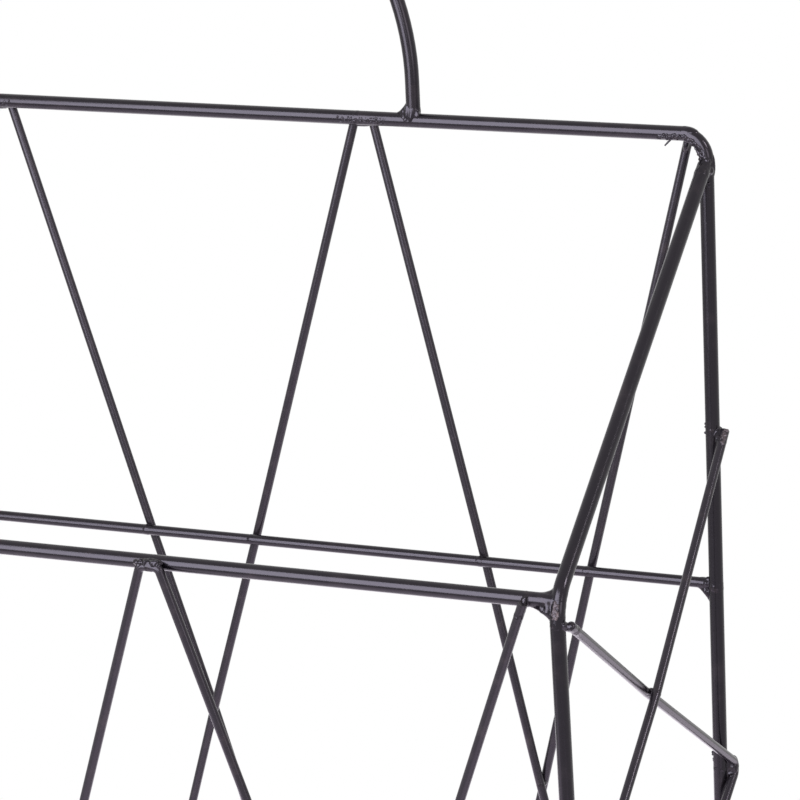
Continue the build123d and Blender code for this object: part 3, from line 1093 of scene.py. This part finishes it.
@dataclass
class Spatter:
    """Rough drops and scale that stuck to the rods near the welds.

    Attributes:
        sizes: Sizes of the rack.
        drop_seed: Seed of the drops.
        drop_radii: Least and greatest radius of a drop.
        scale_seed: Seed of the scale.
        scale_grains: Number of grains in a patch of scale.
        scale_radii: Least and greatest radius of a grain on the front bends.
        scale_facing: Direction that the patch on a front bend faces.
    """

    sizes: RackSizes
    drop_seed: int = 5
    drop_radii: tuple[float, float] = (0.22, 0.42)
    scale_seed: int = 8
    scale_grains: int = 34
    scale_radii: tuple[float, float] = (0.28, 0.50)
    scale_facing: Vector = Vector((0.12, -0.96, 0.26))

    @property
    def wire_end(self) -> Vector:
        """Upper end of the right side's outer wire."""
        rack = self.sizes
        height = rack.front_height - rack.side_first_drop + rack.side_top_lead
        return Vector((rack.half_width + rack.seat, rack.rear_y, height))

    def drops(self) -> WeldSeams:
        """Makes the drops on the rear posts and on the rear top bar.

        Returns:
            Drops beside the side wires' ends and flats, below the hoop's bends and by the rear wires' flats,
            with a thin run of metal at each end of the bar.
        """
        rack = self.sizes
        chance = random.Random(self.drop_seed)
        left_edge = Vector((-0.90, -0.43, 0)) * rack.rod
        by_wire_end, by_flat = self.wire_end.z + 0.6, self.wire_end.z - 94.0
        blobs = []
        for height, count in ((by_wire_end, 4), (by_flat, 9)):
            post = Vector((rack.half_width, rack.rear_y, height))
            blobs += self._patch(chance, post + left_edge, UP, reach=0.35 * count, spread=0.2, count=count)
        below_bend = rack.slope_top + Vector((1.0, -1.6, -5.2))
        blobs += self._patch(chance, below_bend, UP, reach=1.8, spread=0.4, count=12)
        blobs += self._whisker()
        sink = 0.16
        for height in (-1.0, -0.5, 0.0, 0.4):
            depth = math.sqrt(rack.rod ** 2 - height ** 2) - sink
            bar = Vector((rack.rear_top_apex + 1.6, rack.rear_y - depth, rack.rear_height + height))
            blobs += self._patch(chance, bar, ACROSS, reach=7.5, spread=0.34, count=24)
        return WeldSeams("weld_spatter", blobs, mirrored=True,
                         voxel=0.12, flow=2, ripple_size=0.4, ripple=0.05)

    def _whisker(self) -> list[Blob]:
        """Makes a thin run of metal that hangs from the right end of the rear top bar.

        Returns:
            A row of drops that get smaller.
        """
        rack = self.sizes
        root = Vector((rack.half_width - 9.4, rack.rear_y - 1.3, rack.rear_height - 1.3))
        stride = Vector((-0.24, -0.16, -0.28))
        count, thickest, taper = 7, 0.36, 0.02
        return [Blob(root + stride * step, thickest - taper * step) for step in range(count)]

    def scale(self) -> WeldSeams:
        """Makes the weld scale on the lower half of the front bends and on the side wires' upper ends.

        Returns:
            Rough patches of small grains.
        """
        rack = self.sizes
        chance = random.Random(self.scale_seed)
        sink = 0.08
        blobs = []
        for _ in range(self.scale_grains):
            axis = rack.front_bend(chance.triangular(low=-0.44, high=0.0, mode=-0.2))
            turn = chance.triangular(low=-0.55, high=0.55, mode=0.0)
            facing = (self.scale_facing + ACROSS * turn).normalized()
            blobs.append(Blob(axis + facing * (rack.rod - sink), chance.uniform(*self.scale_radii)))
        down = Vector((0, -0.72, -0.69))
        face = Vector((0.45, -0.62, 0.64)) * rack.wire
        blobs += self._patch(chance, self.wire_end + down * 2.6 + face, down, reach=2.4, spread=0.6,
                             count=self.scale_grains)
        return WeldSeams("weld_scale", blobs, mirrored=True,
                         voxel=0.12, flow=4, ripple_size=0.5, ripple=0.05)

    def _patch(self, chance: random.Random, at: Vector, along: Vector, reach: float, spread: float,
               count: int) -> list[Blob]:
        """Scatters small drops along a line.

        Args:
            chance: Source of the scatter, which gives the same drops on each run.
            at: Middle of the patch.
            along: Direction of the line.
            reach: Half the patch's length.
            spread: Half the patch's width across the rack.
            count: Number of drops.

        Returns:
            The drops.
        """
        spans = ((along, -reach, reach), (ACROSS, -spread, spread))
        return scatter(chance, count, at, spans, self.drop_radii)


@dataclass
class PaintedRods:
    """The frame's bent rods and wires, which keep their shape and get their coat."""

    wire_words: tuple[str, ...] = ("lattice", "floor_wire")

    def dress(self, coats: dict[Slot, bpy.types.Material]) -> None:
        """Paints every rod and wire of the frame.

        Args:
            coats: The coat of each material slot.
        """
        for name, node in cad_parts.items():
            slot = Slot.WIRE if any(word in name for word in self.wire_words) else Slot.FRAME
            node.data.materials.clear()
            node.data.materials.append(coats[slot])
            LOG.info("painted %s with %s", name, coats[slot].name)


# Studio

@dataclass(frozen=True)
class SoftBox:
    """A rectangular lamp that faces a point.

    Attributes:
        name: The lamp's name.
        at: Its place, in metres.
        target: The point that it faces, in metres.
        width: Width, in metres.
        height: Height, in metres.
        radiance: Brightness of its face.
        colour: Its colour.
    """

    name: str
    at: tuple[float, float, float]
    target: tuple[float, float, float]
    width: float
    height: float
    radiance: float
    colour: tuple[float, float, float]

    def place(self) -> bpy.types.Object:
        """Adds the lamp to the scene.

        Returns:
            The lamp's object.
        """
        bpy.ops.object.select_all(action="DESELECT")
        facing = Vector(self.target) - Vector(self.at)
        turn = facing.to_track_quat("-Z", "Y").to_euler()
        bpy.ops.object.light_add(type="AREA", location=self.at, rotation=turn)
        lamp = bpy.context.object
        lamp.name = self.name
        lamp.data.shape = "RECTANGLE"
        lamp.data.size = self.width
        lamp.data.size_y = self.height
        lamp.data.energy = self.radiance * math.pi * self.width * self.height
        lamp.data.color = self.colour
        lamp.visible_camera = False
        return lamp


@dataclass(frozen=True)
class PhotoCamera:
    """The camera of the close view on the rack's upper right corner.

    Attributes:
        at: Its place, in metres.
        yaw: Turn to the left of straight ahead, in degrees.
        pitch: Tilt down, in degrees.
        roll: Turn about the line of sight, in degrees.
        lens: Focal length, in millimetres.
        sensor: Width of the sensor, in millimetres.
        clip_start: Distance at which the view begins, in metres.
    """

    at: tuple[float, float, float] = (0.53022, -0.94775, 0.59745)
    yaw: float = 24.761
    pitch: float = 15.557
    roll: float = 2.540
    lens: float = 183.41
    sensor: float = 36.0
    clip_start: float = 0.05

    def place(self) -> bpy.types.Object:
        """Adds the camera and makes it the scene's own.

        Returns:
            The camera's object.
        """
        yaw, pitch, roll = (math.radians(angle) for angle in (self.yaw, self.pitch, self.roll))
        ahead = math.cos(pitch)
        forward = Vector((-math.sin(yaw) * ahead, math.cos(yaw) * ahead, -math.sin(pitch)))
        level = Vector((math.cos(yaw), math.sin(yaw), 0.0))
        down = forward.cross(level)
        right = level * math.cos(roll) + down * math.sin(roll)
        up = level * math.sin(roll) - down * math.cos(roll)
        turn = Matrix((right, up, -forward)).transposed()
        bpy.ops.object.select_all(action="DESELECT")
        bpy.ops.object.camera_add(location=self.at, rotation=turn.to_euler())
        camera = bpy.context.object
        camera.name = "photo_camera"
        camera.data.sensor_width = self.sensor
        camera.data.lens = self.lens
        camera.data.clip_start = self.clip_start
        bpy.context.scene.camera = camera
        return camera


@dataclass
class Studio:
    """Pale floor, white surroundings and soft lamps.

    Attributes:
        floor_radius: Radius of the floor, in metres.
        shadow_radius: Where the floor begins to fade to white, in metres from its middle.
        white_radius: Where it is white, in metres from its middle.
        floor_colour: Colour of the floor.
        ambient: Brightness of the light from all round.
        lamps: The lamps.
    """

    floor_radius: float = 4.0
    shadow_radius: float = 0.22
    white_radius: float = 0.42
    floor_colour: tuple[float, float, float] = (0.80, 0.79, 0.80)
    ambient: float = 0.55
    lamps: tuple[SoftBox, ...] = (
        SoftBox("key_softbox", (-0.38, -1.16, 0.835), (0.0, 0.0, 0.835),
                width=0.85, height=1.47, radiance=7.6, colour=(0.97, 1.0, 1.08)),
        SoftBox("front_softbox", (0.32, -1.13, 0.92), (0.155, 0.0575, 0.92),
                width=0.60, height=1.00, radiance=6.5, colour=(0.97, 1.0, 1.08)),
        SoftBox("side_softbox", (1.15, -0.54, 0.50), (0.0, 0.0, 0.40),
                width=0.45, height=0.50, radiance=3.0, colour=(1.0, 0.97, 1.0)),
        SoftBox("strip_light", (0.92, -0.03, 0.865), (0.1665, 0.0, 0.20),
                width=0.15, height=0.24, radiance=17.0, colour=(1.0, 0.98, 1.0)),
        SoftBox("bounce_panel", (0.05, 0.0, 0.001), (0.05, 0.0, 1.0),
                width=0.80, height=0.80, radiance=1.0, colour=(1.0, 0.85, 1.07)),
    )

    def build(self) -> None:
        """Sets up the world, floor, lamps and colour management."""
        scene = bpy.context.scene
        scene.view_settings.view_transform = "Standard"
        self._world(scene)
        self._floor()
        for lamp in self.lamps:
            lamp.place()
            LOG.info("lit %s", lamp.name)

    @staticmethod
    def _reflected_ray(path: bpy.types.Node, tree: bpy.types.NodeTree) -> bpy.types.NodeSocket:
        """Gives the socket that is 1 for rays of reflections and of glass."""
        return maths(tree, "MAXIMUM", path.outputs["Is Glossy Ray"], path.outputs["Is Transmission Ray"])

    @staticmethod
    def _blend(tree: bpy.types.NodeTree, share: bpy.types.NodeSocket,
               shaders: tuple[bpy.types.NodeSocket, bpy.types.NodeSocket], output_type: str) -> None:
        """Blends two shaders and sends them to a tree's output.

        Args:
            tree: The tree.
            share: Share of the second shader.
            shaders: The two shaders.
            output_type: Type of the output node.
        """
        mix = tree.nodes.new("ShaderNodeMixShader")
        output = tree.nodes.new(output_type)
        tree.links.new(share, mix.inputs["Fac"])
        for socket, shader in zip(mix.inputs[1:], shaders):
            tree.links.new(shader, socket)
        tree.links.new(mix.outputs["Shader"], output.inputs["Surface"])

    def _world(self, scene: bpy.types.Scene) -> None:
        """Makes surroundings that look white and light the rack softly.

        Args:
            scene: The scene that gets them.
        """
        scene.world = bpy.data.worlds.new("studio")
        scene.world.use_nodes = True
        tree = scene.world.node_tree
        tree.nodes.clear()
        light = tree.nodes.new("ShaderNodeBackground")
        light.inputs["Strength"].default_value = self.ambient
        light.inputs["Color"].default_value = WHITE
        white = tree.nodes.new("ShaderNodeBackground")
        white.inputs["Color"].default_value = WHITE
        path = tree.nodes.new("ShaderNodeLightPath")
        seen = maths(tree, "MAXIMUM", path.outputs["Is Camera Ray"], self._reflected_ray(path, tree))
        shaders = (light.outputs["Background"], white.outputs["Background"])
        self._blend(tree, seen, shaders, "ShaderNodeOutputWorld")

    def _floor(self) -> None:
        """Makes a round floor under the rack."""
        bpy.ops.object.select_all(action="DESELECT")
        bpy.ops.mesh.primitive_circle_add(vertices=96, radius=self.floor_radius, fill_type="NGON")
        floor = bpy.context.object
        floor.name = floor.data.name = "studio_floor"
        floor.data.materials.append(self._paper())

    def _paper(self) -> bpy.types.Material:
        """Makes the floor's pale paper.

        Returns:
            A material that keeps the rack's shadow, and is white farther out and in reflections.
        """
        paper = bpy.data.materials.new("studio paper")
        paper.use_nodes = True
        tree = paper.node_tree
        tree.nodes.clear()
        place = tree.nodes.new("ShaderNodeTexCoord")
        distance = tree.nodes.new("ShaderNodeVectorMath")
        distance.operation = "LENGTH"
        fade = tree.nodes.new("ShaderNodeMapRange")
        fade.interpolation_type = "SMOOTHSTEP"
        fade.inputs["From Min"].default_value = self.shadow_radius
        fade.inputs["From Max"].default_value = self.white_radius
        tree.links.new(place.outputs["Object"], distance.inputs[0])
        tree.links.new(distance.outputs["Value"], fade.inputs["Value"])
        path = tree.nodes.new("ShaderNodeLightPath")
        faded = maths(tree, "MULTIPLY", fade.outputs["Result"], path.outputs["Is Camera Ray"])
        shown = maths(tree, "MAXIMUM", faded, self._reflected_ray(path, tree))
        diffuse = tree.nodes.new("ShaderNodeBsdfDiffuse")
        diffuse.inputs["Color"].default_value = (*self.floor_colour, 1.0)
        white = tree.nodes.new("ShaderNodeEmission")
        shaders = (diffuse.outputs["BSDF"], white.outputs["Emission"])
        self._blend(tree, shown, shaders, "ShaderNodeOutputMaterial")
        return paper


def main() -> None:
    """Builds the rack's seams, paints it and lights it."""
    logging.basicConfig(level=logging.INFO, format="%(message)s")
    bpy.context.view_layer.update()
    sizes = RackSizes()
    coats = {slot: finish.material() for slot, finish in COATS.items()}
    PaintedRods().dress(coats)
    drop = model_drop()
    spatter = Spatter(sizes)
    joints = (FrameJoints(sizes), LatticeJoints(sizes), FloorJoints(sizes))
    welds = [seams for group in joints for seams in group.seams()] + [spatter.drops()]
    for seams in welds:
        seams.dress(seams.build(drop), coats[Slot.WELD])
    scale = spatter.scale()
    scale.dress(scale.build(drop), SCALE_COAT.material())
    bpy.data.objects.remove(drop)
    Studio().build()
    PhotoCamera().place()


if __name__ == "__main__":
    main()
